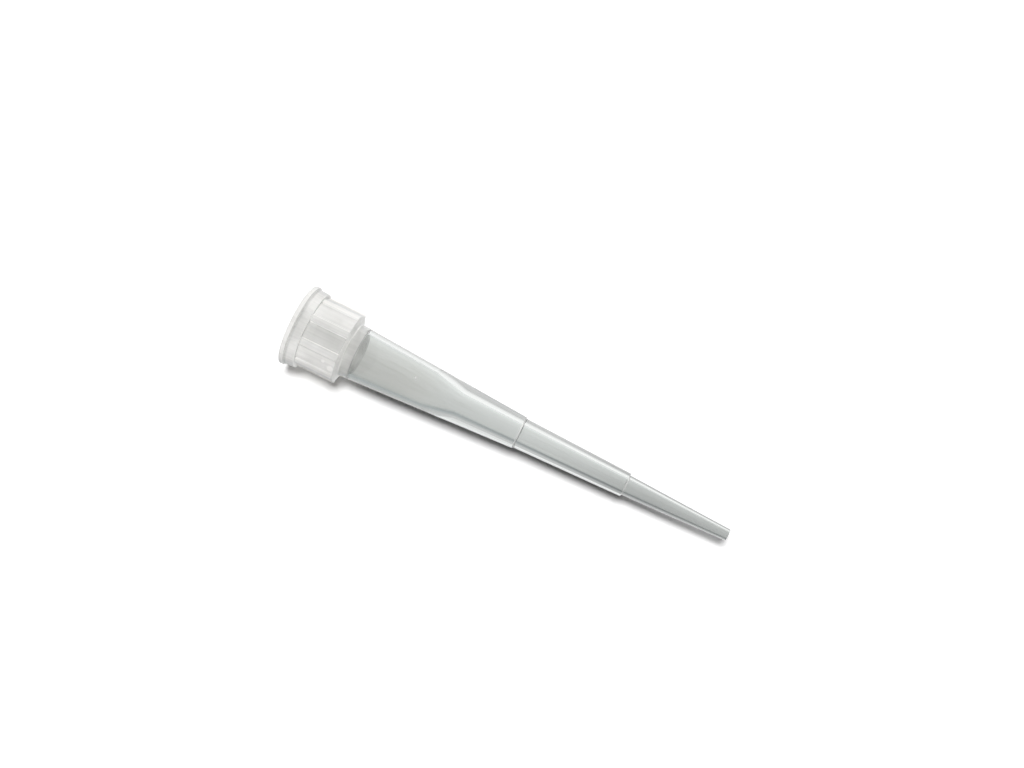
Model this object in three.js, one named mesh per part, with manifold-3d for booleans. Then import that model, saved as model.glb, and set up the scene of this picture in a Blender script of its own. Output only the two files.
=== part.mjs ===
// Short pipette tip, one injection moulding in natural polypropylene.
//
// The tip stands on its mouth: the origin is the centre of the mouth rim, +Z runs along the axis to
// the nozzle, and every size is in millimetres. A tapered seat takes the pipette's cone. Below it the
// thin-walled body leads through a funnel into the narrow liquid channel. Two small steps on the
// outside mark filling volumes, and a ribbed collar under the mouth flange gives grip in the rack.

import * as THREE from 'three';
import { mergeVertices } from 'three/addons/utils/BufferGeometryUtils.js';
import Module from 'manifold-3d';

// Lengths along the axis, one after the other from the mouth.
const COLLAR_END = 3.72; // mouth rim to the end of the ribs
const SHOULDER_LENGTH = 0.18;
const BODY_LENGTH = 12.45; // shoulder to the upper volume mark
const MIDDLE_LENGTH = 7.75; // upper volume mark to the lower one
const NOZZLE_LENGTH = 7.4; // lower volume mark to the orifice

// Mouth flange.
const LIP_HEIGHT = 0.28;
const LIP_OVERHANG = 0.1; // lip beyond the flange
const LIP_ROUND = 0.08;
const LIP_UNDERCUT_LENGTH = 0.06; // slope from the lip down to the flange
const FLANGE_HEIGHT = 1.05; // mouth rim to the flange's flat back, which hangs in a rack
const FLANGE_OVERHANG = 0.21; // flange beyond the ribs
const FLANGE_DRAFT = 0.06; // radius lost from the lip to the flange's back
const FLANGE_ROUND = 0.06;

// Ribbed collar.
const COLLAR_WALL = 0.35; // between the seat's mouth and the panels
const RIB_COUNT = 9;
const RIB_HEIGHT = 0.11; // ribs beyond the panels
const RIB_WIDTH = 0.56;
const RIB_ROOT = 0.1; // how deep each rib is sunk into the collar
const SHOULDER_ROUND = 0.07;

// Seat for the pipette's cone.
const LEAD_IN_DEPTH = 0.5;
const LEAD_IN_WIDTH = 0.3;
const SEAT_MOUTH_RADIUS = 2.05;
const SEAT_END_RADIUS = 1.62;
const SEAT_DEPTH = 4.45;
const SEAT_WALL = 0.2; // at the deep end of the seat
const LEDGE_LENGTH = 0.08; // slope from the seat into the body's bore

// Body, funnel and liquid channel.
const BODY_WALL = 0.31;
const FUNNEL_LENGTH = 2.2;
const CHANNEL_HEAD_LENGTH = 4.37; // funnel's end to the upper volume mark
const CHANNEL_HEAD_RADIUS = 0.7;
const UPPER_MARK_BORE_RADIUS = 0.6;
const LOWER_MARK_BORE_RADIUS = 0.47;
const ORIFICE_RADIUS = 0.25;

// Walls round the channel, just past each mark and at the orifice.
const UPPER_MARK_WALL = 0.44;
const LOWER_MARK_WALL = 0.22;
const ORIFICE_WALL = 0.14;
const ORIFICE_ROUND = 0.04;

// Volume marks: small outward steps that face the nozzle.
const UPPER_MARK_STEP = 0.08;
const LOWER_MARK_STEP = 0.125;
const MARK_BEVEL = 0.04;

// Fineness of the solid: facets round the axis, and facets in each round of the outline.
const FACETS = 72;
const ROUND_FACETS = 3;

// Stations along the axis.
const shoulderEnd = COLLAR_END + SHOULDER_LENGTH;
const upperMark = shoulderEnd + BODY_LENGTH;
const lowerMark = upperMark + MIDDLE_LENGTH;
const tipEnd = lowerMark + NOZZLE_LENGTH;
const ledgeEnd = SEAT_DEPTH + LEDGE_LENGTH;
const funnelEnd = upperMark - CHANNEL_HEAD_LENGTH;
const funnelStart = funnelEnd - FUNNEL_LENGTH;

// Outer radii, each the bore and the wall round it.
const panelRadius = SEAT_MOUTH_RADIUS + COLLAR_WALL;
const ribRadius = panelRadius + RIB_HEIGHT;
const flangeRadius = ribRadius + FLANGE_OVERHANG;
const flangeBackRadius = flangeRadius - FLANGE_DRAFT;
const lipRadius = flangeRadius + LIP_OVERHANG;
const middleTopRadius = UPPER_MARK_BORE_RADIUS + UPPER_MARK_WALL;
const bodyEndRadius = middleTopRadius + UPPER_MARK_STEP;
const nozzleTopRadius = LOWER_MARK_BORE_RADIUS + LOWER_MARK_WALL;
const middleEndRadius = nozzleTopRadius + LOWER_MARK_STEP;
const tipEndRadius = ORIFICE_RADIUS + ORIFICE_WALL;

/** Outer radius of the body's cone at a height, from the end of the seat to the upper mark. */
function bodyRadius(height) {
  const seatEndOuter = SEAT_END_RADIUS + SEAT_WALL;
  const share = (height - SEAT_DEPTH) / (upperMark - SEAT_DEPTH);
  return seatEndOuter + (bodyEndRadius - seatEndOuter) * share;
}

/** Adds the outside of the moulding, from the mouth rim to the end of the nozzle. */
function outside(path) {
  const lipCentre = lipRadius - LIP_ROUND;
  path.lineTo(lipCentre, 0);
  path.absarc(lipCentre, LIP_ROUND, LIP_ROUND, -Math.PI / 2, 0, false);
  path.absarc(lipCentre, LIP_HEIGHT - LIP_ROUND, LIP_ROUND, 0, Math.PI / 2, false);
  path.lineTo(flangeRadius, LIP_HEIGHT + LIP_UNDERCUT_LENGTH);
  path.lineTo(flangeBackRadius, FLANGE_HEIGHT - FLANGE_ROUND);
  path.quadraticCurveTo(flangeBackRadius, FLANGE_HEIGHT, flangeBackRadius - FLANGE_ROUND, FLANGE_HEIGHT);
  path.lineTo(panelRadius, FLANGE_HEIGHT);
  path.lineTo(panelRadius, COLLAR_END);

  const shoulderRadius = bodyRadius(shoulderEnd);
  const rootEnd = shoulderEnd + SHOULDER_ROUND;
  path.lineTo(shoulderRadius + SHOULDER_ROUND, shoulderEnd);
  path.quadraticCurveTo(shoulderRadius, shoulderEnd, bodyRadius(rootEnd), rootEnd);
  path.lineTo(bodyEndRadius, upperMark);
  path.lineTo(middleTopRadius, upperMark + MARK_BEVEL);
  path.lineTo(middleEndRadius, lowerMark);
  path.lineTo(nozzleTopRadius, lowerMark + MARK_BEVEL);
  path.lineTo(tipEndRadius, tipEnd - ORIFICE_ROUND);
  path.quadraticCurveTo(tipEndRadius, tipEnd, tipEndRadius - ORIFICE_ROUND, tipEnd);
}

/** Adds the inside of the moulding, from the orifice back to the mouth. */
function inside(path) {
  path.lineTo(ORIFICE_RADIUS, tipEnd);
  path.lineTo(LOWER_MARK_BORE_RADIUS, lowerMark);
  path.lineTo(UPPER_MARK_BORE_RADIUS, upperMark);
  path.lineTo(CHANNEL_HEAD_RADIUS, funnelEnd);
  path.lineTo(bodyRadius(funnelStart) - BODY_WALL, funnelStart);
  path.lineTo(bodyRadius(ledgeEnd) - BODY_WALL, ledgeEnd);
  path.lineTo(SEAT_END_RADIUS, SEAT_DEPTH);
  path.lineTo(SEAT_MOUTH_RADIUS, LEAD_IN_DEPTH);
  path.lineTo(SEAT_MOUTH_RADIUS + LEAD_IN_WIDTH, 0);
}

/** The hollow turned form: one closed outline, revolved about the axis. */
function turnedForm() {
  const outline = new THREE.Path();
  outline.moveTo(SEAT_MOUTH_RADIUS + LEAD_IN_WIDTH, 0);
  outside(outline);
  inside(outline);
  const form = new THREE.LatheGeometry(outline.getPoints(ROUND_FACETS), FACETS);
  form.rotateX(Math.PI / 2);
  return form;
}

/** One rib: a bar with a curved back, from inside the flange to the end of the collar. */
function rib(angle) {
  const halfAngle = Math.asin(RIB_WIDTH / 2 / ribRadius);
  const rootRadius = panelRadius - RIB_ROOT;
  const section = new THREE.Shape();
  section.moveTo(rootRadius, -RIB_WIDTH / 2);
  section.absarc(0, 0, ribRadius, -halfAngle, halfAngle, false);
  section.lineTo(rootRadius, RIB_WIDTH / 2);
  const ribStart = FLANGE_HEIGHT - FLANGE_ROUND;
  const bar = new THREE.ExtrudeGeometry(section, {
    depth: COLLAR_END - ribStart,
    bevelEnabled: false,
    curveSegments: ROUND_FACETS,
  });
  bar.translate(0, 0, ribStart);
  bar.rotateZ(angle);
  return bar;
}

const wasm = await Module();
wasm.setup();

/** A closed geometry as a solid that can be joined and cut. */
function toSolid(geometry) {
  const bare = geometry.clone();
  bare.deleteAttribute('normal');
  bare.deleteAttribute('uv');
  const merged = mergeVertices(bare, 1e-5);
  return new wasm.Manifold(new wasm.Mesh({
    numProp: 3,
    vertProperties: new Float32Array(merged.attributes.position.array),
    triVerts: new Uint32Array(merged.index.array),
  }));
}

/** A solid back as a geometry with normals. */
function toGeometry(solid) {
  const { vertProperties, triVerts } = solid.getMesh();
  const geometry = new THREE.BufferGeometry();
  geometry.setAttribute('position', new THREE.BufferAttribute(vertProperties, 3));
  geometry.setIndex(new THREE.BufferAttribute(triVerts, 1));
  geometry.computeVertexNormals();
  return geometry;
}

/** The moulding: the turned form with its ribs. */
function mouldedTip() {
  let solid = toSolid(turnedForm());
  for (let i = 0; i < RIB_COUNT; i += 1) {
    solid = solid.add(toSolid(rib((i / RIB_COUNT) * 2 * Math.PI)));
  }
  return toGeometry(solid);
}

const naturalPolypropylene = new THREE.MeshStandardMaterial({
  color: 0xdfe2de,
  roughness: 0.3,
  metalness: 0,
});

const tipBody = new THREE.Mesh(mouldedTip(), naturalPolypropylene);
tipBody.name = 'tip_body';

const pipetteTip = new THREE.Group();
pipetteTip.add(tipBody);

export default pipetteTip;
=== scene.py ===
"""Looks of a short pipette tip, moulded in one piece from natural polypropylene.

The tip keeps the frame of its CAD solid: it stands on its mouth, with the origin at the centre of the
mouth rim and +Z along the axis to the nozzle. The scene lays a white bench against its side and looks
down on it from above. Sizes are in millimetres until they reach a mesh, which is in metres.
"""

from __future__ import annotations

import logging
import math
from collections.abc import Mapping, Sequence
from dataclasses import dataclass
from typing import Any

import bpy
from mathutils import Matrix, Vector

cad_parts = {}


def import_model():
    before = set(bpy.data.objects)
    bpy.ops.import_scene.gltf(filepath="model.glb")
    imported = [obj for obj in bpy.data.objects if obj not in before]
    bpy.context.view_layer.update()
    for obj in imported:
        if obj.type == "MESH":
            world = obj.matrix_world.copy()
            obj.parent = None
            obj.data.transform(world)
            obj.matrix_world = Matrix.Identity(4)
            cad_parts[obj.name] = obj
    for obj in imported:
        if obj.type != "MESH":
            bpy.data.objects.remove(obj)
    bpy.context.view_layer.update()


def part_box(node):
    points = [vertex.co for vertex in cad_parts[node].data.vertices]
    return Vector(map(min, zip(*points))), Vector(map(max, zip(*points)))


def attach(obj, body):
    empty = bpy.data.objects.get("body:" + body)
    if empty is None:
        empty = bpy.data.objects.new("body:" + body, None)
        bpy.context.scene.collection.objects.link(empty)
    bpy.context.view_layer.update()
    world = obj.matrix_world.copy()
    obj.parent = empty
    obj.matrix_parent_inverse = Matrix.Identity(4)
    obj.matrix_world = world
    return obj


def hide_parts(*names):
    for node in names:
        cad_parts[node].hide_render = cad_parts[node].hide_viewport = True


log = logging.getLogger("pipette_tip")

MM = 0.001
BODY = "root"
TIP_NODE = "tip_body"
TIP_LENGTH = 31.5

# Attribute of the outline that tells how far it follows the ribs.
LIFT = "lift"
# Distance in metres within which the turned grid's seam closes.
WELD = 1e-8
# Keeps a whole quotient from being rounded down in the node tree.
ROUNDING = 2.5e-6
# Inputs of the tree that turns the outline.
TURNING_INPUTS = {
    "Geometry": "NodeSocketGeometry",
    "Facets": "NodeSocketInt",
    "Rib Count": "NodeSocketInt",
    "Rib Height": "NodeSocketFloat",
    "Rib Width": "NodeSocketFloat",
    "Rib Flank": "NodeSocketFloat",
    "Finish": "NodeSocketMaterial",
}

Colour = tuple[float, float, float]
Span = tuple[float, float]
# A place of the outline, and how far it follows the ribs.
Station = tuple[Vector, float]


class Value:
    """An output socket that can be used in a Python expression."""

    def __init__(self, graph: Graph, source: bpy.types.NodeSocket) -> None:
        """Wraps a socket.

        Args:
            graph: The node graph that the value belongs to.
            source: The output socket.
        """
        self.graph = graph
        self.source = source

    def _math(self, operation: str, *operands: Any) -> Value:
        """One Math node on some operands."""
        return self.graph.value("ShaderNodeMath", {"operation": operation}, dict(enumerate(operands)))

    def __add__(self, other: Any) -> Value:
        """Self plus other."""
        return self._math("ADD", self, other)

    __radd__ = __add__

    def __sub__(self, other: Any) -> Value:
        """Self less other."""
        return self._math("SUBTRACT", self, other)

    def __rsub__(self, other: Any) -> Value:
        """Other less self."""
        return self._math("SUBTRACT", other, self)

    def __mul__(self, other: Any) -> Value:
        """Self times other."""
        return self._math("MULTIPLY", self, other)

    __rmul__ = __mul__

    def __truediv__(self, other: Any) -> Value:
        """Self over other."""
        return self._math("DIVIDE", self, other)

    def __rtruediv__(self, other: Any) -> Value:
        """Other over self."""
        return self._math("DIVIDE", other, self)

    def __mod__(self, other: Any) -> Value:
        """What is left of self after whole steps of other."""
        return self._math("FLOORED_MODULO", self, other)

    def floor(self) -> Value:
        """The whole number below."""
        return self._math("FLOOR", self)

    def size(self) -> Value:
        """The value without its sign."""
        return self._math("ABSOLUTE", self)

    def root(self) -> Value:
        """The square root."""
        return self._math("SQRT", self)

    def at_least(self, floor: Any) -> Value:
        """The value, or a floor where it is lower."""
        return self._math("MAXIMUM", self, floor)

    def sin(self) -> Value:
        """Sine of an angle in radians."""
        return self._math("SINE", self)

    def cos(self) -> Value:
        """Cosine of an angle in radians."""
        return self._math("COSINE", self)

    def ramp(self, start: Any, end: Any, low: Any = 0.0, high: Any = 1.0) -> Value:
        """A smooth change while self goes from start to end.

        Args:
            start: Where the change starts.
            end: Where it ends.
            low: The value before it.
            high: The value after it.

        Returns:
            The changing value.
        """
        return self.graph.value(
            "ShaderNodeMapRange",
            {"interpolation_type": "SMOOTHSTEP", "clamp": True},
            {"Value": self, "From Min": start, "From Max": end, "To Min": low, "To Max": high},
        )


class Graph:
    """A node tree, written as expressions."""

    def __init__(self, tree: bpy.types.NodeTree) -> None:
        """Starts from an empty tree.

        Args:
            tree: The tree to write in. Its nodes are removed.
        """
        self.tree = tree
        tree.nodes.clear()

    @staticmethod
    def _socket(sockets: Any, key: int | str) -> bpy.types.NodeSocket:
        """Finds a socket.

        Args:
            sockets: The node's inputs or its outputs.
            key: The socket's number, identifier or name.

        Returns:
            The socket.
        """
        if isinstance(key, int):
            return sockets[key]
        return next(s for s in sockets if key in (s.identifier, s.name))

    def node(
        self,
        kind: str,
        settings: Mapping[str, Any] | None = None,
        sockets: Mapping[int | str, Any] | None = None,
    ) -> bpy.types.Node:
        """Adds one node.

        Args:
            kind: The node's type.
            settings: Its settings, which are set first.
            sockets: A value or a link for each input, by number, identifier or name.

        Returns:
            The new node.
        """
        node = self.tree.nodes.new(kind)
        for name, setting in (settings or {}).items():
            setattr(node, name, setting)
        for key, value in (sockets or {}).items():
            socket = self._socket(node.inputs, key)
            source = value.source if isinstance(value, Value) else value
            if isinstance(source, bpy.types.NodeSocket):
                self.tree.links.new(source, socket)
            else:
                socket.default_value = source
        return node

    def value(
        self,
        kind: str,
        settings: Mapping[str, Any] | None = None,
        sockets: Mapping[int | str, Any] | None = None,
        output: int | str = 0,
    ) -> Value:
        """Adds one node for the sake of one output.

        Args:
            kind: The node's type.
            settings: Its settings.
            sockets: Its inputs.
            output: The output's number, identifier or name.

        Returns:
            That output, as a value.
        """
        node = self.node(kind, settings, sockets)
        return Value(self, self._socket(node.outputs, output))

    def mix_colour(self, factor: Any, first: Any, second: Any) -> Value:
        """A blend of two colours.

        Args:
            factor: Share of the second one, from 0 to 1.
            first: The first colour.
            second: The second colour.

        Returns:
            The colour between them.
        """
        return self.value(
            "ShaderNodeMix",
            {"data_type": "RGBA"},
            {"Factor_Float": factor, "A_Color": first, "B_Color": second},
            "Result_Color",
        )

    def mix_shader(self, factor: Any, first: bpy.types.Node, second: bpy.types.Node) -> bpy.types.Node:
        """A blend of two shaders.

        Args:
            factor: Share of the second one, from 0 to 1.
            first: The first shader's node.
            second: The second shader's node.

        Returns:
            The Mix Shader node.
        """
        sockets = {0: factor, 1: first.outputs[0], 2: second.outputs[0]}
        return self.node("ShaderNodeMixShader", None, sockets)

    @staticmethod
    def grey(level: float) -> tuple[float, float, float, float]:
        """A colour without a hue."""
        return (level, level, level, 1.0)

    def seen(self) -> Value:
        """Tells rays that see a surface from rays that carry light to one.

        Returns:
            1 for a ray that sees it by eye, in a reflection or through the tip, and 0 for others.
        """
        path = self.node("ShaderNodeLightPath").outputs
        seen = Value(self, path["Is Camera Ray"]) + Value(self, path["Is Glossy Ray"])
        seen = (seen + Value(self, path["Is Transmission Ray"])).ramp(0.0, 1.0)
        return seen * (1 - Value(self, path["Diffuse Depth"]).ramp(0.0, 1.0))

    def split(self, vector: Any) -> tuple[Value, Value, Value]:
        """The three parts of a vector."""
        node = self.node("ShaderNodeSeparateXYZ", None, {0: vector})
        return tuple(Value(self, output) for output in node.outputs)

    def join(self, x: Any, y: Any, z: Any) -> Value:
        """A vector from its three parts."""
        return self.value("ShaderNodeCombineXYZ", None, {0: x, 1: y, 2: z})


@dataclass(frozen=True)
class Corner:
    """One corner of the turned outline, in millimetres.

    Attributes:
        radius: Distance from the axis.
        height: Distance from the mouth rim.
        fillet: Radius of the round that takes the corner off.
        lifted: How far the corner follows the ribs, from 0 to 1.
    """

    radius: float
    height: float
    fillet: float = 0.0
    lifted: float = 0.0

    @property
    def place(self) -> Vector:
        """The corner in the plane of the outline."""
        return Vector((self.radius, self.height))


@dataclass(frozen=True)
class Spot:
    """What a finish can tell about a spot on the tip. Lengths are in millimetres.

    Attributes:
        graph: The material's node graph.
        place: Object coordinates.
        height: Distance from the mouth rim.
        radius: Distance from the axis.
        facing: How far the surface turns away from the ray, from 0 to 1.
        clouds: Slow noise, from 0 to 1.
        lines: Noise drawn out along the axis, from 0 to 1.
        normal: The normal, with a fine relief.
    """

    graph: Graph
    place: Value
    height: Value
    radius: Value
    facing: Value
    clouds: Value
    lines: Value
    normal: Value


@dataclass(frozen=True)
class MouldTexture:
    """What the mould leaves all over the plastic: slow clouds, lines along the axis, and grain.

    Sizes are in millimetres, and a detail is how many octaves a pattern has. The lines and the grain
    each have a share in a relief, which has a height and shows with some strength.
    """

    cloud_size: float = 2.6
    cloud_detail: float = 3.0
    line_size: float = 0.16
    line_length: float = 6.0
    grain_size: float = 0.25
    fine_detail: float = 2.0
    line_relief: float = 0.6
    grain_relief: float = 0.4
    relief_height: float = 0.01
    relief_strength: float = 0.06

    def spot(self, graph: Graph) -> Spot:
        """Reads the spot that is being shaded.

        Args:
            graph: The material's node graph.

        Returns:
            The spot, with what the mould leaves there.
        """
        metres = graph.value("ShaderNodeTexCoord", None, None, "Object")
        scaling = {"Vector": metres, "Scale": (1 / MM, 1 / MM, 1 / MM)}
        place = graph.value("ShaderNodeMapping", {"vector_type": "POINT"}, scaling)
        x, y, height = graph.split(place)
        drawn_out = graph.value(
            "ShaderNodeVectorMath",
            {"operation": "MULTIPLY"},
            {0: place, 1: (1 / self.line_size, 1 / self.line_size, 1 / self.line_length)},
        )
        lines = self._noise(graph, drawn_out, 1.0, self.fine_detail)
        grain = self._noise(graph, place, self.grain_size, self.fine_detail)
        relief = {
            "Strength": self.relief_strength,
            "Distance": self.relief_height * MM,
            "Height": lines * self.line_relief + grain * self.grain_relief,
        }
        return Spot(
            graph=graph,
            place=place,
            height=height,
            radius=(x * x + y * y).root(),
            facing=graph.value("ShaderNodeLayerWeight", None, {"Blend": 0.5}, "Facing"),
            clouds=self._noise(graph, place, self.cloud_size, self.cloud_detail),
            lines=lines,
            normal=graph.value("ShaderNodeBump", None, relief, "Normal"),
        )

    @staticmethod
    def _noise(graph: Graph, place: Value, size: float, detail: float) -> Value:
        """Noise with patches of some size, from 0 to 1 about 0.5."""
        sockets = {"Vector": place, "Scale": 1 / size, "Detail": detail, "Roughness": 0.5}
        return graph.value("ShaderNodeTexNoise", {"noise_dimensions": "3D"}, sockets)


@dataclass(frozen=True)
class Mark:
    """A small milky mark on the outside of the tip.

    Attributes:
        bearing: Degrees round the axis.
        height: Distance from the mouth rim, in millimetres.
        size: Distance from its middle at which it has faded out, in millimetres.
        core: Share of that distance over which it is whole.
    """

    bearing: float
    height: float
    size: float
    core: float = 1 / 3

    def cover(self, spot: Spot) -> Value:
        """How much of the mark there is at a spot.

        Args:
            spot: The spot that is being shaded.

        Returns:
            1 in the middle of the mark, 0 beyond it.
        """
        turned = math.radians(self.bearing)
        middle = spot.graph.join(
            spot.radius * math.cos(turned), spot.radius * math.sin(turned), self.height
        )
        away = spot.graph.value(
            "ShaderNodeVectorMath", {"operation": "DISTANCE"}, {0: spot.place, 1: middle}, "Value"
        )
        return 1 - away.ramp(self.size * self.core, self.size)


@dataclass(frozen=True)
class Milkiness:
    """How milky the plastic is in each part of the tip, from 0 for clear to 1 for milky.

    The thick collar is milky and the thin body is clear. A span is where one level gives way to the
    next: heights over the mouth rim or radii in millimetres, or how far the surface turns away.
    """

    # The collar where it faces the ray, and its flank where it turns away.
    collar: float = 0.5
    flank: float = 0.85
    flank_turn: Span = (0.02, 0.2)

    # What the backs of the ribs have more, and the level of their sides, raised as painted light that
    # lifts the shade on them.
    rib_start: Span = (1.05, 1.15)
    rib_back: float = 0.12
    rib_back_radii: Span = (2.42, 2.5)
    rib_side_painted_light: float = 0.88
    side_start: Span = (2.402, 2.432)
    side_end: Span = (2.485, 2.505)

    # The share of its level that the flange keeps close to the lip, and the lip.
    rim_share: float = 0.65
    rim_heights: Span = (0.38, 0.55)
    lip: float = 1.0
    lip_heights: Span = (0.26, 0.32)

    # The outside round the end of the seat.
    neck: float = 0.46
    neck_heights: Span = (3.88, 4.02)

    # The inside's share of the level outside. The radii between the two fall with height.
    inside_share: float = 0.08
    skin_taper: float = 0.124
    skin_radii: Span = (2.24, 2.3)

    # The ledge on the inside, and the start of the clear body.
    ledge: float = 0.15
    ledge_heights: Span = (4.36, 4.44)
    clear_heights: Span = (4.53, 4.62)

    # A ring at each volume step, in the outside only.
    step: float = 0.34
    step_heights: tuple[float, ...] = (16.37, 24.12)
    step_width: float = 0.07
    step_radii: Span = (0.61, 0.64)

    # Small marks.
    mark: float = 0.3
    marks: tuple[Mark, ...] = (Mark(304.0, 3.5, 0.3), Mark(296.0, 2.9, 0.16), Mark(249.0, 8.79, 0.1))

    # How much the clouds and the lines change the level, as a share of it.
    cloud_depth: float = 0.35
    line_depth: float = 0.16

    def level(self, spot: Spot) -> Value:
        """How milky the plastic is at a spot.

        Args:
            spot: The spot that is being shaded.

        Returns:
            The level, from 0 to 1.
        """
        level = self._wall(spot, self._collar(spot))
        for height in self.step_heights:
            ring = (spot.height - height).size().ramp(self.step_width / 2, self.step_width, self.step, 0.0)
            level = level + ring * spot.radius.ramp(*self.step_radii)
        for mark in self.marks:
            level = level + mark.cover(spot) * self.mark
        level = level * (1 + (spot.clouds - 0.5) * (2 * self.cloud_depth))
        return level * (1 + (spot.lines - 0.5) * (2 * self.line_depth))

    def _collar(self, spot: Spot) -> Value:
        """The level on the outside, from the lip to the neck.

        Args:
            spot: The spot that is being shaded.

        Returns:
            The level, as if the neck had no end.
        """
        level = spot.facing.ramp(*self.flank_turn, self.collar, self.flank)
        on_ribs = spot.height.ramp(*self.rib_start)
        level = level + spot.radius.ramp(*self.rib_back_radii) * on_ribs * self.rib_back
        # Painted light: the ribs' sides are made milkier, which lightens the shade that falls on them.
        painted_light_side = spot.radius.ramp(*self.side_start) * (1 - spot.radius.ramp(*self.side_end)) * on_ribs
        level = painted_light_side.ramp(0.0, 1.0, level, self.rib_side_painted_light)
        level = spot.height.ramp(*self.rim_heights, level * self.rim_share, level)
        level = spot.height.ramp(*self.lip_heights, self.lip, level)
        return spot.height.ramp(*self.neck_heights, level, self.neck)

    def _wall(self, spot: Spot, outside: Value) -> Value:
        """The level through the wall, and its end at the clear body.

        Args:
            spot: The spot that is being shaded.
            outside: The level on the outside.

        Returns:
            The level on the outside, on the inside and along the whole tip.
        """
        outer = (spot.radius + spot.height * self.skin_taper).ramp(*self.skin_radii)
        level = outer.ramp(0.0, 1.0, outside * self.inside_share, outside)
        on_ledge = spot.height.ramp(*self.ledge_heights) * (1 - outer)
        level = on_ledge.ramp(0.0, 1.0, level, self.ledge)
        return spot.height.ramp(*self.clear_heights, level, 0.0)


@dataclass(frozen=True)
class NaturalPolypropylene:
    """Clear to milky polypropylene without pigment, as it leaves a polished mould.

    The clear plastic refracts and the milky plastic scatters. A span is where one value gives way to
    the next: in the lines, in the clouds, or by how far the surface turns away.
    """

    name: str = "moulded_polypropylene"
    texture: MouldTexture = MouldTexture()
    milkiness: Milkiness = Milkiness()
    ior: float = 1.49

    # Colour of clear plastic, in streaks and where it turns away.
    clear_tint: Colour = (0.955, 0.975, 0.965)
    streak_tint: Colour = (0.91, 0.932, 0.915)
    streak_lines: Span = (0.4, 0.7)
    rim_tint: Colour = (0.7, 0.72, 0.72)
    rim_turn: Span = (0.4, 0.8)

    # Its roughness in the thin and in the thick of the clouds.
    clear_roughness: Span = (0.03, 0.06)
    clear_clouds: Span = (0.25, 0.75)

    # Colour of milky plastic, in the thick of the clouds, and a painted shade that darkens it where it
    # turns away.
    milk_tint: Colour = (0.98, 0.962, 0.92)
    milk_cloud_tint: Colour = (0.95, 0.94, 0.91)
    milk_clouds: Span = (0.3, 0.7)
    milk_outline_shade: Colour = (0.75, 0.75, 0.74)
    milk_turn: Span = (0.35, 0.75)

    # Its surface, and the share of the light that scatters inside it and how deep that goes.
    milk_roughness: float = 0.35
    milk_gloss: float = 0.0
    milk_glow: float = 0.45
    milk_depth: float = 0.8

    # Light that passes the middle of a clear wall, and light that passes its edges and milky plastic.
    shade_tint: Colour = (0.95, 0.95, 0.95)
    edge_tint: Colour = (0.05, 0.05, 0.05)
    shade_turn: Span = (0.0, 0.15)

    def make(self) -> bpy.types.Material:
        """Builds the material.

        Returns:
            The finish, with all its patterns on Object coordinates.
        """
        material = bpy.data.materials.new(self.name)
        material.use_nodes = True
        graph = Graph(material.node_tree)
        spot = self.texture.spot(graph)
        level = self.milkiness.level(spot)
        moulded = graph.mix_shader(level, self._clear(spot), self._milky(spot))
        path = graph.node("ShaderNodeLightPath").outputs
        finish = graph.mix_shader(path["Is Shadow Ray"], moulded, self._shade(spot, level))
        graph.node("ShaderNodeOutputMaterial", None, {"Surface": finish.outputs[0]})
        return material

    def _clear(self, spot: Spot) -> bpy.types.Node:
        """The clear plastic.

        Args:
            spot: The spot that is being shaded.

        Returns:
            The shader's node.
        """
        streaks = spot.lines.ramp(*self.streak_lines)
        colour = spot.graph.mix_colour(streaks, (*self.clear_tint, 1), (*self.streak_tint, 1))
        colour = spot.graph.mix_colour(spot.facing.ramp(*self.rim_turn), colour, (*self.rim_tint, 1))
        sockets = {
            "Base Color": colour,
            "Roughness": spot.clouds.ramp(*self.clear_clouds, *self.clear_roughness),
            "IOR": self.ior,
            "Transmission Weight": 1.0,
            "Normal": spot.normal,
        }
        return spot.graph.node("ShaderNodeBsdfPrincipled", None, sockets)

    def _milky(self, spot: Spot) -> bpy.types.Node:
        """The milky plastic.

        Args:
            spot: The spot that is being shaded.

        Returns:
            The shader's node.
        """
        clouds = spot.clouds.ramp(*self.milk_clouds)
        colour = spot.graph.mix_colour(clouds, (*self.milk_tint, 1), (*self.milk_cloud_tint, 1))
        # Painted shade along the outline: the milky colour darkens where the surface turns away from the
        # ray.
        turn = spot.facing.ramp(*self.milk_turn)
        sockets = {
            "Base Color": spot.graph.mix_colour(turn, colour, (*self.milk_outline_shade, 1)),
            "Roughness": self.milk_roughness,
            "IOR": self.ior,
            "Specular IOR Level": self.milk_gloss,
            "Subsurface Weight": self.milk_glow,
            "Subsurface Radius": (1.0, 1.0, 1.0),
            "Subsurface Scale": self.milk_depth * MM,
            "Normal": spot.normal,
        }
        return spot.graph.node("ShaderNodeBsdfPrincipled", None, sockets)

    def _shade(self, spot: Spot, level: Value) -> bpy.types.Node:
        """What the plastic lets through to what lies in its shade.

        Args:
            spot: The spot that is being shaded.
            level: How milky the plastic is there.

        Returns:
            The shader's node.
        """
        middle, edge = (
            spot.graph.node("ShaderNodeBsdfTransparent", None, {"Color": (*tint, 1)})
            for tint in (self.shade_tint, self.edge_tint)
        )
        dense = 1 - (1 - spot.facing.ramp(*self.shade_turn)) * (1 - level)
        return spot.graph.mix_shader(dense, middle, edge)


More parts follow.
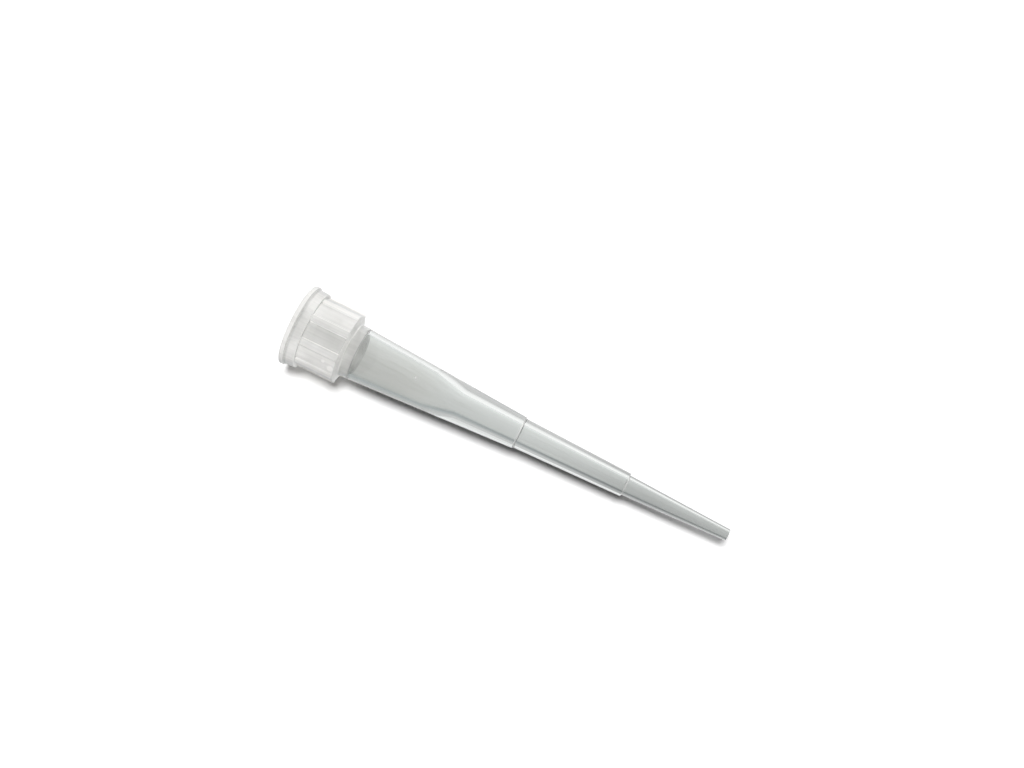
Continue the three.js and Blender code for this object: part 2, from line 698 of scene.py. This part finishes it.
@dataclass
class MouldedTip:
    """The whole tip: a hollow turned form with a ribbed collar. Sizes are in millimetres.

    Attributes:
        unit: Metres in one millimetre of the sizes.
    """

    unit: float
    name: str = "tip_moulding"

    # Lengths along the axis, one after the other from the mouth.
    collar_end: float = 3.72
    shoulder_length: float = 0.18
    body_length: float = 12.45
    middle_length: float = 7.75
    nozzle_length: float = 7.4

    # Mouth flange and its lip.
    lip_height: float = 0.28
    lip_overhang: float = 0.1
    lip_round: float = 0.08
    lip_undercut_length: float = 0.06
    flange_height: float = 1.05
    flange_overhang: float = 0.21
    flange_draft: float = 0.06
    flange_round: float = 0.06

    # Ribbed collar. Each rib's sides lean over its flank, and its end is rounded.
    collar_wall: float = 0.35
    rib_count: int = 9
    rib_height: float = 0.11
    rib_width: float = 0.56
    rib_flank: float = 0.09
    rib_end_round: float = 0.04
    rib_end_gap: float = 0.004
    shoulder_round: float = 0.07

    # Seat for the pipette's cone.
    lead_in_depth: float = 0.5
    lead_in_width: float = 0.3
    lead_in_round: float = 0.12
    seat_mouth_radius: float = 2.05
    seat_end_radius: float = 1.62
    seat_depth: float = 4.45
    seat_wall: float = 0.2
    ledge_length: float = 0.08

    # Body, funnel and liquid channel.
    body_wall: float = 0.31
    funnel_length: float = 2.2
    funnel_round: float = 1.2
    channel_head_length: float = 4.37
    channel_head_radius: float = 0.7
    upper_mark_bore_radius: float = 0.6
    lower_mark_bore_radius: float = 0.47
    orifice_radius: float = 0.25

    # Walls round the channel, and the steps that mark volumes.
    upper_mark_wall: float = 0.44
    lower_mark_wall: float = 0.22
    orifice_wall: float = 0.14
    orifice_round: float = 0.04
    upper_mark_step: float = 0.08
    lower_mark_step: float = 0.125
    mark_bevel: float = 0.04
    edge_round: float = 0.03

    # Fineness: facets round the axis, places in each round and along straight stretches.
    facets: int = 432
    round_steps: int = 4
    longest_step: float = 1.0
    shortest_stretch: float = 0.012
    support_gap: float = 0.03

    finish: NaturalPolypropylene = NaturalPolypropylene()

    @property
    def shoulder_end(self) -> float:
        """Height at which the body leaves the collar."""
        return self.collar_end + self.shoulder_length

    @property
    def upper_mark(self) -> float:
        """Height of the upper volume mark."""
        return self.shoulder_end + self.body_length

    @property
    def lower_mark(self) -> float:
        """Height of the lower volume mark."""
        return self.upper_mark + self.middle_length

    @property
    def tip_end(self) -> float:
        """Height of the orifice."""
        return self.lower_mark + self.nozzle_length

    @property
    def panel_radius(self) -> float:
        """Outer radius of the collar between its ribs."""
        return self.seat_mouth_radius + self.collar_wall

    @property
    def body_end_radius(self) -> float:
        """Outer radius of the body at the upper mark."""
        return self.upper_mark_bore_radius + self.upper_mark_wall + self.upper_mark_step

    def body_radius(self, height: float) -> float:
        """Outer radius of the body's cone.

        Args:
            height: Distance from the mouth rim.

        Returns:
            The radius at that height.
        """
        seat_end_outer = self.seat_end_radius + self.seat_wall
        share = (height - self.seat_depth) / (self.upper_mark - self.seat_depth)
        return seat_end_outer + (self.body_end_radius - seat_end_outer) * share

    def outside(self) -> list[Corner]:
        """Makes the outside of the outline.

        Returns:
            Its corners, from the mouth rim to the end of the nozzle.
        """
        flange_radius = self.panel_radius + self.rib_height + self.flange_overhang
        flange_back_radius = flange_radius - self.flange_draft
        lip_radius = flange_radius + self.lip_overhang
        middle_top = self.upper_mark_bore_radius + self.upper_mark_wall
        nozzle_top = self.lower_mark_bore_radius + self.lower_mark_wall
        nozzle_end = self.orifice_radius + self.orifice_wall
        shoulder_radius = self.body_radius(self.shoulder_end)
        edge = self.edge_round
        return [
            Corner(lip_radius, 0, self.lip_round),
            Corner(lip_radius, self.lip_height, self.lip_round),
            Corner(flange_radius, self.lip_height + self.lip_undercut_length, edge),
            Corner(flange_back_radius, self.flange_height, self.flange_round),
            Corner(self.panel_radius, self.flange_height, edge, 1),
            Corner(self.panel_radius, self.collar_end, self.rib_end_round, 1),
            Corner(self.panel_radius - self.rib_end_gap, self.collar_end + self.rib_end_gap),
            Corner(shoulder_radius, self.shoulder_end, self.shoulder_round),
            Corner(self.body_end_radius, self.upper_mark, edge),
            Corner(middle_top, self.upper_mark + self.mark_bevel, edge),
            Corner(nozzle_top + self.lower_mark_step, self.lower_mark, edge),
            Corner(nozzle_top, self.lower_mark + self.mark_bevel, edge),
            Corner(nozzle_end, self.tip_end, self.orifice_round),
        ]

    def inside(self) -> list[Corner]:
        """Makes the inside of the outline.

        Returns:
            Its corners, from the orifice back to the mouth.
        """
        funnel_end = self.upper_mark - self.channel_head_length
        funnel_start = funnel_end - self.funnel_length
        ledge_end = self.seat_depth + self.ledge_length
        edge = self.edge_round
        return [
            Corner(self.orifice_radius, self.tip_end, edge),
            Corner(self.lower_mark_bore_radius, self.lower_mark),
            Corner(self.upper_mark_bore_radius, self.upper_mark),
            Corner(self.channel_head_radius, funnel_end, self.funnel_round),
            Corner(self.body_radius(funnel_start) - self.body_wall, funnel_start, self.funnel_round),
            Corner(self.body_radius(ledge_end) - self.body_wall, ledge_end, edge),
            Corner(self.seat_end_radius, self.seat_depth, edge),
            Corner(self.seat_mouth_radius, self.lead_in_depth, self.lead_in_round),
            Corner(self.seat_mouth_radius + self.lead_in_width, 0, edge),
        ]

    def outline(self) -> list[Station]:
        """Rounds the corners and divides what lies between them.

        Returns:
            The stations round the closed outline.
        """
        corners = self.outside() + self.inside()
        bends = [
            self._bend(before, corner, after)
            for before, corner, after in zip(corners[-1:] + corners, corners, corners[1:] + corners[:1])
        ]
        points: list[Station] = []
        for bend, following in zip(bends, bends[1:] + bends[:1]):
            points += bend
            points += self._stretch(bend[-1], following[0])
        return points

    def _bend(self, before: Corner, corner: Corner, after: Corner) -> list[Station]:
        """The round at one corner.

        Args:
            before: The corner before it.
            corner: The corner itself.
            after: The corner after it.

        Returns:
            The stations along the round, or the corner alone where it has none.
        """
        if corner.fillet <= 0:
            return [(corner.place, corner.lifted)]
        towards = (before.place - corner.place).normalized()
        away = (after.place - corner.place).normalized()
        half = math.acos(max(-1.0, min(1.0, towards.dot(away)))) / 2
        reach = corner.fillet / math.tan(half)
        centre = corner.place + (towards + away).normalized() * (corner.fillet / math.sin(half))
        start = corner.place + towards * reach - centre
        turn = start.angle_signed(corner.place + away * reach - centre)
        places = []
        for step in range(self.round_steps + 1):
            angle = -turn * step / self.round_steps
            spoke = Matrix.Rotation(angle, 2) @ start
            places.append((centre + spoke, corner.lifted))
        return places

    def _stretch(self, start: Station, end: Station) -> list[Station]:
        """A straight stretch between two rounds.

        Args:
            start: Where it starts.
            end: Where it ends.

        Returns:
            The stations between its ends, the outer two of them close to the rounds.
        """
        run = end[0] - start[0]
        length = run.length
        if length < self.shortest_stretch:
            return []
        gap = min(self.support_gap, length / 4)
        count = max(1, math.ceil((length - 2 * gap) / self.longest_step))
        shares = [gap / length + (1 - 2 * gap / length) * i / count for i in range(count + 1)]
        return [(start[0] + run * share, start[1] + (end[1] - start[1]) * share) for share in shares]

    def _outline_mesh(self) -> bpy.types.Mesh:
        """Makes the outline.

        Returns:
            A loop of edges that holds how far each place follows the ribs.
        """
        points = self.outline()
        mesh = bpy.data.meshes.new(f"{self.name}_outline")
        count = len(points)
        mesh.from_pydata(
            [(place.x * self.unit, 0.0, place.y * self.unit) for place, _ in points],
            [(i, (i + 1) % count) for i in range(count)],
            [],
        )
        lift = mesh.attributes.new(LIFT, "FLOAT", "POINT")
        lift.data.foreach_set("value", [lifted for _, lifted in points])
        return mesh

    def _turning_tree(self) -> bpy.types.GeometryNodeTree:
        """Makes the Geometry Nodes tree that turns an outline about Z and raises the ribs on it.

        Returns:
            The tree. Its inputs are the outline, the sizes and the finish.
        """
        tree = bpy.data.node_groups.new("turned_and_ribbed", "GeometryNodeTree")
        for name, kind in TURNING_INPUTS.items():
            tree.interface.new_socket(name, in_out="INPUT", socket_type=kind)
        tree.interface.new_socket("Geometry", in_out="OUTPUT", socket_type="NodeSocketGeometry")
        graph = Graph(tree)
        given = graph.node("NodeGroupInput").outputs
        sizes = {socket.name: Value(graph, socket) for socket in given if socket.name}
        outline = {"Geometry": sizes["Geometry"]}
        stations = graph.value(
            "GeometryNodeAttributeDomainSize", {"component": "MESH"}, outline, "Point Count"
        )
        counts = {"Vertices X": sizes["Facets"] + 1, "Vertices Y": stations + 1}
        shape = graph.value("GeometryNodeMeshGrid", None, counts, "Mesh")
        steps = {
            "GeometryNodeSetPosition": {"Position": self._turned_places(graph, sizes, stations)},
            "GeometryNodeMergeByDistance": {"Distance": WELD},
            "GeometryNodeSetShadeSmooth": {},
            "GeometryNodeRealizeInstances": {},
            "GeometryNodeSetMaterial": {"Material": sizes["Finish"]},
        }
        for kind, sockets in steps.items():
            shape = graph.value(kind, None, {"Geometry": shape, **sockets})
        graph.node("NodeGroupOutput", None, {0: shape})
        return tree

    @staticmethod
    def _turned_places(graph: Graph, sizes: Mapping[str, Value], stations: Value) -> Value:
        """Places of the grid's points, which have a column for each facet and a row for each station.

        Args:
            graph: The tree's node graph.
            sizes: The tree's inputs, by name.
            stations: How many stations the outline has.

        Returns:
            The places, turned about Z, with the ribs raised.
        """
        rows = stations + 1
        index = graph.value("GeometryNodeInputIndex")
        facet = (index / rows + ROUNDING).floor()
        station = (index - facet * rows) % stations

        def sampled(kind: str, what: Value) -> Value:
            """What the outline holds at the point's place on it."""
            sockets = {"Geometry": sizes["Geometry"], "Value": what, "Index": station}
            return graph.value("GeometryNodeSampleIndex", {"data_type": kind, "domain": "POINT"}, sockets)

        position = graph.value("GeometryNodeInputPosition")
        lifted = graph.value(
            "GeometryNodeInputNamedAttribute", {"data_type": "FLOAT"}, {"Name": LIFT}, "Attribute"
        )
        radius, _, height = graph.split(sampled("FLOAT_VECTOR", position))
        angle = facet * math.tau / sizes["Facets"]
        pitch = math.tau / sizes["Rib Count"]
        from_rib = ((angle + pitch / 2) % pitch - pitch / 2).size() * (radius + sizes["Rib Height"])
        half, flank = sizes["Rib Width"] / 2, sizes["Rib Flank"] / 2
        raised = from_rib.ramp(half - flank, half + flank, 1.0, 0.0)
        reach = radius + sampled("FLOAT", lifted) * raised * sizes["Rib Height"]
        return graph.join(reach * angle.cos(), reach * angle.sin(), height)

    def build(self) -> bpy.types.Object:
        """Makes the piece.

        Returns:
            The finished object, a plain mesh with its material.
        """
        tree = self._turning_tree()
        piece = bpy.data.objects.new(self.name, self._outline_mesh())
        bpy.context.scene.collection.objects.link(piece)
        modifier = piece.modifiers.new("turn", "NODES")
        modifier.node_group = tree
        given = {
            "Facets": self.facets,
            "Rib Count": self.rib_count,
            "Rib Height": self.rib_height * self.unit,
            "Rib Width": self.rib_width * self.unit,
            "Rib Flank": self.rib_flank * self.unit,
            "Finish": self.finish.make(),
        }
        for item in tree.interface.items_tree:
            if item.in_out == "INPUT" and item.name in given:
                modifier[item.identifier] = given[item.name]
        depsgraph = bpy.context.evaluated_depsgraph_get()
        mesh = bpy.data.meshes.new_from_object(piece.evaluated_get(depsgraph))
        piece.modifiers.remove(modifier)
        outline = piece.data
        piece.data = mesh
        mesh.name = self.name
        mesh.materials.clear()
        mesh.materials.append(given["Finish"])
        mesh.polygons.foreach_set("material_index", [0] * len(mesh.polygons))
        bpy.data.meshes.remove(outline)
        bpy.data.node_groups.remove(tree)
        return piece


@dataclass(frozen=True)
class BenchPaper:
    """White paper under the tip.

    By eye it is white and keeps the tip's shadow. Through the clear walls of the tip it shows painted
    shade:
    it glows with the level of paper in the tip's own shade, darkest close beside the tip and towards the
    nozzle, and white farther off on the far side. A stretch is in millimetres along the tip, from the
    middle of its axis. Near and far are across it, in heights of the axis over the paper.
    """

    name: str = "bench_white"

    # Colour by eye, and for the light that it gives back to the tip.
    white: float = 1.15
    bounce: float = 0.95

    # The painted shade close beside the tip, from the mouth to the nozzle.
    near: Span = (-1.6, -0.3)
    near_levels: Span = (0.42, 0.15)
    near_stretch: Span = (-8.0, 12.0)
    near_tint: Colour = (0.92, 0.99, 1.0)

    # The painted shade under the axis: at the mouth, at the body and at the nozzle.
    below_levels: tuple[float, float, float] = (0.47, 0.54, 0.36)
    mouth_stretch: Span = (-10.0, -4.0)
    nozzle_stretch: Span = (1.0, 11.0)

    # The painted shade's colour under the mouth's half of the body.
    mouth_tint: Colour = (1.0, 0.978, 0.955)
    tint_stretch: Span = (-8.0, -3.0)

    # The far side, where the painted shade gives way to white.
    far: Span = (-0.1, 1.9)
    far_level: float = 0.98

    # The least height over the paper that the axis is taken to have.
    least_height: float = 0.05

    def make(self, beside: Matrix, drop: float, slope: float, unit: float) -> bpy.types.Material:
        """Builds the material.

        Args:
            beside: Directions along the tip, away from the view and up, at the middle of its axis.
            drop: How far the paper lies below the middle of the axis, in millimetres.
            slope: How much lower the axis is for each millimetre towards the nozzle.
            unit: Metres in one millimetre.

        Returns:
            The material, clear from behind.
        """
        material = bpy.data.materials.new(self.name)
        material.use_nodes = True
        material.cycles.emission_sampling = "NONE"
        graph = Graph(material.node_tree)
        path = graph.node("ShaderNodeLightPath").outputs
        by_eye = Value(graph, path["Is Camera Ray"])
        through = Value(graph, path["Is Transmission Ray"])
        mirrored = Value(graph, path["Is Glossy Ray"]) * (1 - through)
        seen = graph.seen()

        shown = graph.mix_colour(by_eye, graph.grey(0.0), graph.grey(self.white))
        shown = graph.mix_colour(seen, graph.grey(self.bounce), shown)
        paper = graph.node("ShaderNodeBsdfDiffuse", None, {"Color": shown})

        # Rays that see the paper through the tip get painted shade, an emission graded beside and along
        # the tip; rays that see it mirrored get plain white.
        along, across = self._place(graph, beside, unit)
        reach = across / (drop - along * slope).at_least(self.least_height)
        level = mirrored.ramp(0.0, 1.0, self._painted_shade_level(along, reach), 1.0) * seen * (1 - by_eye)
        painted_shade = graph.mix_colour(level, graph.grey(0.0), self._painted_shade_tint(graph, along, reach))
        painted_shade_glow = graph.node("ShaderNodeEmission", None, {"Color": painted_shade})

        front = graph.node("ShaderNodeAddShader", None, {0: paper.outputs[0], 1: painted_shade_glow.outputs[0]})
        clear = graph.node("ShaderNodeBsdfTransparent")
        back = graph.value("ShaderNodeNewGeometry", None, None, "Backfacing")
        sheet = graph.mix_shader(back, front, clear)
        graph.node("ShaderNodeOutputMaterial", None, {"Surface": sheet.outputs[0]})
        return material

    def _painted_shade_level(self, along: Value, reach: Value) -> Value:
        """The level of the painted shade: how light the paper is painted through the tip.

        Args:
            along: Place along the tip.
            reach: Place across it.

        Returns:
            The level, 1 for white.
        """
        mouth, body, nozzle = self.below_levels
        below = along.ramp(*self.mouth_stretch, mouth, body)
        below = along.ramp(*self.nozzle_stretch, below, nozzle)
        level = reach.ramp(*self.near, along.ramp(*self.near_stretch, *self.near_levels), below)
        return reach.ramp(*self.far, level, self.far_level)

    def _painted_shade_tint(self, graph: Graph, along: Value, reach: Value) -> Value:
        """The painted colour of the paper through the tip, which tints the painted shade.

        Args:
            graph: The material's node graph.
            along: Place along the tip.
            reach: Place across it.

        Returns:
            The colour of white paper there.
        """
        white = graph.grey(1.0)
        tint = graph.mix_colour(along.ramp(*self.tint_stretch), (*self.mouth_tint, 1), white)
        tint = graph.mix_colour(reach.ramp(*self.near), (*self.near_tint, 1), tint)
        return graph.mix_colour(reach.ramp(*self.far), tint, white)

    @staticmethod
    def _place(graph: Graph, beside: Matrix, unit: float) -> tuple[Value, Value]:
        """Where the spot on the paper is.

        Args:
            graph: The material's node graph.
            beside: Directions along the tip, away from the view and up, at the middle of its axis.
            unit: Metres in one millimetre.

        Returns:
            How far along the tip and across it the spot is, in millimetres.
        """
        from_middle = graph.value(
            "ShaderNodeVectorMath",
            {"operation": "SUBTRACT"},
            {0: graph.value("ShaderNodeTexCoord", None, None, "Object"), 1: tuple(beside.translation)},
        )
        along, across = (
            graph.value(
                "ShaderNodeVectorMath",
                {"operation": "DOT_PRODUCT"},
                {0: from_middle, 1: tuple(beside.col[column].xyz / unit)},
                "Value",
            )
            for column in (0, 1)
        )
        return along, across


@dataclass(frozen=True)
class Lamp:
    """One wide lamp far from the tip, which lights it and isn't mirrored in its gloss.

    Attributes:
        name: What it is called.
        bearing: Degrees on the bench, from the view's right towards its far side.
        elevation: Degrees above the bench. A lamp below the bench lights the sides of the tip only.
        spread: Width of the lamp in the sky, in degrees.
        level: Radiance of a white surface that faces it.
    """

    name: str
    bearing: float
    elevation: float
    spread: float
    level: float


@dataclass
class Studio:
    """The bench that the tip lies on, the lamps over it, the world and the camera.

    The view's directions are right, away and up, from the middle of the tip's axis. The tip rests on
    its lip, and its nozzle stands a little clear of the paper. Lengths are in millimetres.

    Attributes:
        unit: Metres in one millimetre.
    """

    unit: float

    # The lip, the nozzle's end, and how far that stands clear of the paper.
    lip_radius: float = 2.82
    nozzle_radius: float = 0.39
    nozzle_lift: float = 1.5

    # The tip in the view, in degrees: how far its axis falls towards the nozzle, which side of it is
    # uppermost, and how far its nozzle is turned from the right.
    axis_fall: float = 4.424
    bench_bearing: float = 244.33
    tip_heading: float = -25.91

    # The square sheet of paper.
    bench_size: float = 3000.0
    paper: BenchPaper = BenchPaper()

    # The light of the world, and the lamps and how far off they are drawn.
    ambient: float = 0.06
    lamps: tuple[Lamp, ...] = (
        Lamp("overhead_softbox", -116.0, 88.0, 18.0, 0.88),
        Lamp("far_fill", 64.0, -10.0, 30.0, 0.45),
        Lamp("near_fill", -116.0, -10.0, 30.0, 0.07),
        Lamp("nozzle_fill", -26.0, -10.0, 30.0, 0.45),
    )
    lamp_distance: float = 200.0

    # Where the camera stands, the degrees by which it looks away from straight down, its lens, its
    # sensor, and the nearest and farthest distance that it shows.
    camera_offset: tuple[float, float, float] = (0.06, -27.14, 93.52)
    camera_tilt: float = 17.913
    lens: float = 52.0
    sensor_width: float = 36.0
    clipping: Span = (1.0, 10000.0)

    @property
    def slope(self) -> float:
        """Angle between the tip's axis and the paper, in radians."""
        return math.asin((self.lip_radius - self.nozzle_radius - self.nozzle_lift) / TIP_LENGTH)

    @property
    def drop(self) -> float:
        """How far the paper lies below the middle of the tip's axis, in millimetres."""
        return self.lip_radius * math.cos(self.slope) - TIP_LENGTH / 2 * math.sin(self.slope)

    def view_frame(self) -> Matrix:
        """The view's directions in the frame of the part.

        Returns:
            The matrix whose columns are right, away and up, at the middle of the tip's axis.
        """
        bearing = math.radians(self.bench_bearing)
        fall = math.radians(self.axis_fall)
        up = Vector((math.cos(bearing), math.sin(bearing), -math.tan(fall))).normalized()
        axis = Vector((0, 0, 1))
        along = (axis - up * axis.dot(up)).normalized()
        across = up.cross(along)
        heading = math.radians(self.tip_heading)
        right = along * math.cos(heading) - across * math.sin(heading)
        away = along * math.sin(heading) + across * math.cos(heading)
        frame = Matrix((right, away, up)).transposed().to_4x4()
        frame.translation = Vector((0, 0, TIP_LENGTH / 2 * self.unit))
        return frame

    def build(self) -> None:
        """Makes the bench, the lamps, the world and the camera."""
        frame = self.view_frame()
        self._bench(frame)
        for lamp in self.lamps:
            self._lamp(frame, lamp)
        self._world()
        self._camera(frame)

    def _bench(self, frame: Matrix) -> None:
        """Lays a white sheet under the tip, which is seen only from its front.

        Args:
            frame: The view's directions.
        """
        turn = Matrix.Rotation(math.radians(self.tip_heading), 4, "Z")
        beside = frame @ turn @ Matrix.Rotation(math.radians(self.axis_fall) - self.slope, 4, "Y")
        half, below = self.bench_size / 2 * self.unit, -self.drop * self.unit
        places = [(-half, -half, below), (half, -half, below), (half, half, below), (-half, half, below)]
        mesh = bpy.data.meshes.new("bench")
        mesh.from_pydata([beside @ Vector(place) for place in places], [], [(0, 1, 2, 3)])
        mesh.materials.append(self.paper.make(beside, self.drop, math.tan(self.slope), self.unit))
        bench = bpy.data.objects.new("bench", mesh)
        bench.visible_shadow = False
        bpy.context.scene.collection.objects.link(bench)

    def _lamp(self, frame: Matrix, lamp: Lamp) -> None:
        """Hangs one lamp, aimed at the tip.

        Args:
            frame: The view's directions.
            lamp: The lamp.
        """
        light = bpy.data.lights.new(lamp.name, "SUN")
        light.energy = lamp.level * math.pi
        light.angle = math.radians(lamp.spread)
        holder = bpy.data.objects.new(lamp.name, light)
        bearing, elevation = math.radians(lamp.bearing), math.radians(lamp.elevation)
        flat = math.cos(elevation)
        towards = Vector((flat * math.cos(bearing), flat * math.sin(bearing), math.sin(elevation)))
        direction = frame.to_3x3() @ towards
        holder.rotation_mode = "QUATERNION"
        holder.rotation_quaternion = direction.to_track_quat("Z", "Y")
        holder.location = direction * self.lamp_distance * self.unit
        holder.visible_glossy = False
        holder.visible_transmission = False
        bpy.context.scene.collection.objects.link(holder)

    def _world(self) -> None:
        """A white surround that lights the tip a little."""
        world = bpy.data.worlds.new("studio")
        bpy.context.scene.world = world
        world.use_nodes = True
        graph = Graph(world.node_tree)
        level = graph.seen().ramp(0.0, 1.0, self.ambient, 1.0)
        surround = graph.node("ShaderNodeBackground", None, {"Color": (1, 1, 1, 1), "Strength": level})
        graph.node("ShaderNodeOutputWorld", None, {"Surface": surround.outputs[0]})

    def _camera(self, frame: Matrix) -> None:
        """Sets the camera over the bench.

        Args:
            frame: The view's directions.
        """
        lens = bpy.data.cameras.new("view")
        lens.lens = self.lens
        lens.sensor_width = self.sensor_width
        nearest, farthest = self.clipping
        lens.clip_start, lens.clip_end = nearest * self.unit, farthest * self.unit
        camera = bpy.data.objects.new("view", lens)
        place = Matrix.Translation(Vector(self.camera_offset) * self.unit)
        tilt = Matrix.Rotation(math.radians(self.camera_tilt), 4, "X")
        camera.matrix_world = frame @ place @ tilt
        bpy.context.scene.collection.objects.link(camera)
        bpy.context.scene.camera = camera


def main() -> None:
    """Loads the frame, dresses the tip and sets up the studio."""
    logging.basicConfig(level=logging.INFO, format="%(name)s: %(message)s")
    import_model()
    low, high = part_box(TIP_NODE)
    unit = (high.z - low.z) / TIP_LENGTH

    piece = MouldedTip(unit).build()
    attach(piece, BODY)
    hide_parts(TIP_NODE)
    log.info("%s: %d faces", piece.name, len(piece.data.polygons))

    Studio(unit).build()
    bpy.context.scene.view_settings.view_transform = "Standard"


if __name__ == "__main__":
    main()
